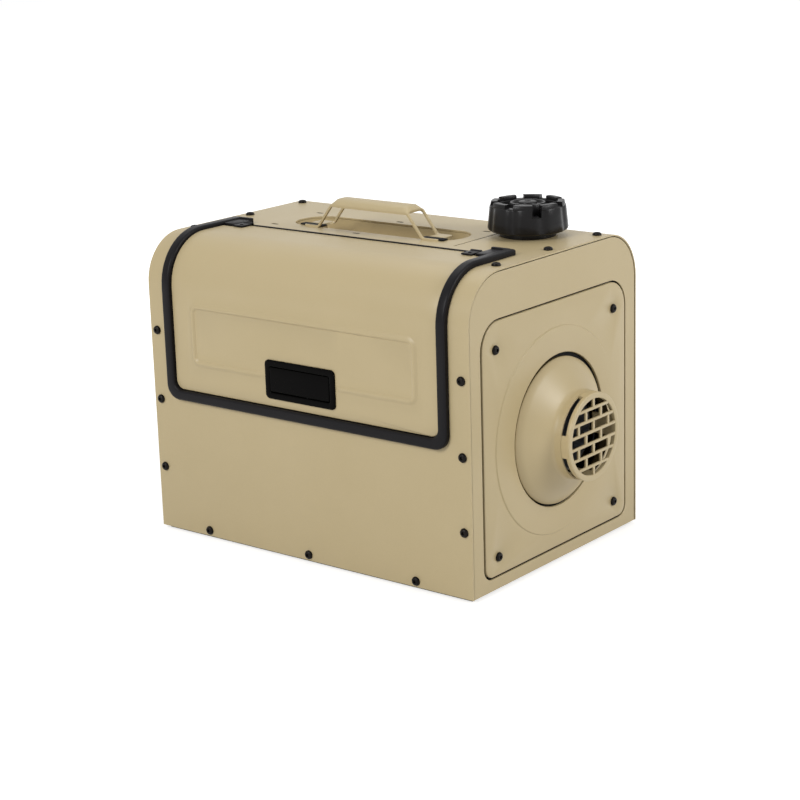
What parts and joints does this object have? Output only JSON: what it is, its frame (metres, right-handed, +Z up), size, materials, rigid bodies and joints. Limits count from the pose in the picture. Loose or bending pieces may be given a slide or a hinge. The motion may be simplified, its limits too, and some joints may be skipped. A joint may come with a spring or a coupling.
{
  "type": "portable diesel air heater",
  "caption": "Portable diesel air heater in a bent sheet-metal case with a hinged front door, carry handle, fuel cap and a round hot-air outlet on one end.",
  "frame": {"origin": "under the middle of the case, on the surface it stands on (the underside of the base pad)", "axes": "+X towards the hot-air outlet end, -Y towards the door, +Z up"},
  "size_m": [0.4439, 0.3058, 0.3419],
  "materials": {
    "sand_powder_coat": "fine-textured satin powder coat",
    "black_powder_coat": "satin powder coat",
    "black_plastic": "fine-grained moulding",
    "screw_steel": "blackened",
    "zinc_steel": "zinc plated",
    "cast_aluminium": "as cast",
    "rubber": "matt",
    "tank_plastic": "translucent white moulding",
    "display_plastic": "gloss",
    "board": "lacquered board"
  },
  "bodies": {
    "case": {"case_wrap": "sand_powder_coat", "base_tray": "sand_powder_coat", "right_end_plate": "sand_powder_coat", "left_end_plate": "sand_powder_coat", "vent_panel": "sand_powder_coat", "outlet_cone": "sand_powder_coat", "outlet_grille": "sand_powder_coat", "compartment_liner": "sand_powder_coat", "handle_tray": "sand_powder_coat", "handle": "sand_powder_coat", "door_frame": "black_powder_coat", "control_panel": "black_plastic", "power_inlet": "black_plastic", "filler_neck": "black_plastic", "intake_grille": "black_plastic", "heater_housing_lower": "black_plastic", "heater_housing_upper": "black_plastic", "air_intake_pipe": "black_plastic", "screws_front_left": "screw_steel", "screws_front_right": "screw_steel", "screws_rear_left": "screw_steel", "screws_rear_right": "screw_steel", "screws_top_left": "screw_steel", "screws_top_right": "screw_steel", "screws_floor_front": "screw_steel", "screws_floor_rear": "screw_steel", "panel_screws": "screw_steel", "tank_shelf": "zinc_steel", "blower_motor": "zinc_steel", "burner_tube": "zinc_steel", "glow_plug": "zinc_steel", "outlet_duct": "zinc_steel", "heater_bracket_left": "zinc_steel", "heater_bracket_right": "zinc_steel", "fuel_pump": "zinc_steel", "exhaust_pipe": "zinc_steel", "heat_exchanger": "cast_aluminium", "combustion_air_housing": "cast_aluminium", "base_pad": "rubber", "pump_clamp": "rubber", "fuel_supply_line": "rubber", "fuel_feed_line": "rubber", "fuel_tank": "tank_plastic", "display_window": "display_plastic", "control_board": "board"},
    "door": {"door": "sand_powder_coat", "hinge_leaf_left": "black_powder_coat", "hinge_leaf_right": "black_powder_coat", "latch_housing": "black_plastic"},
    "paddle": {"latch_paddle": "black_plastic"},
    "bolt": {"latch_bolt": "zinc_steel"},
    "cap_seal": {"cap_gasket": "rubber"},
    "cap": {"fuel_cap": "black_plastic"},
    "knob": {"control_knob": "black_plastic"},
    "up_button": {"button_up": "black_plastic"},
    "down_button": {"button_down": "black_plastic"},
    "rotor": {"rotor_shaft": "zinc_steel", "blower_fan": "black_plastic", "combustion_fan": "black_plastic"}
  },
  "joints": [
    {"name": "door_hinge", "type": "hinge", "parent": "case", "child": "door", "pos_m": [0, -0.0495, 0.3102], "axis": [-1, 0, 0], "range_deg": [0, 95]},
    {"name": "latch_paddle_pivot", "type": "hinge", "parent": "door", "child": "paddle", "pos_m": [0, -0.143, 0.1922], "axis": [-1, 0, 0], "range_deg": [0, 28]},
    {"name": "latch_bolt_slide", "type": "slide", "parent": "door", "child": "bolt", "axis": [0, 0, 1], "range_m": [0, 0.004], "stiffness_N_per_m": 60, "springref_m": -0.005},
    {"name": "cap_lift", "type": "slide", "parent": "case", "child": "cap_seal", "axis": [0, 0, 1], "range_m": [0, 0.05]},
    {"name": "cap_turn", "type": "hinge", "parent": "cap_seal", "child": "cap", "pos_m": [0.13, 0.055, 0.3273], "axis": [0, 0, 1], "continuous": true},
    {"name": "knob_turn", "type": "hinge", "parent": "case", "child": "knob", "pos_m": [0.038, -0.0648, 0.2363], "axis": [0, -1, 0], "range_deg": [-135, 135]},
    {"name": "button_up_press", "type": "slide", "parent": "case", "child": "up_button", "axis": [0, 1, 0], "range_m": [0, 0.0012], "stiffness_N_per_m": 600, "springref_m": -0.0005},
    {"name": "button_down_press", "type": "slide", "parent": "case", "child": "down_button", "axis": [0, 1, 0], "range_m": [0, 0.0012], "stiffness_N_per_m": 600, "springref_m": -0.0005},
    {"name": "rotor_spin", "type": "hinge", "parent": "case", "child": "rotor", "pos_m": [-0.13, 0, 0.1333], "axis": [1, 0, 0], "continuous": true}
  ],
  "couplings": [
    {"joint": "latch_paddle_pivot", "follows": "latch_bolt_slide", "rad_per_m": 122.17}
  ]
}
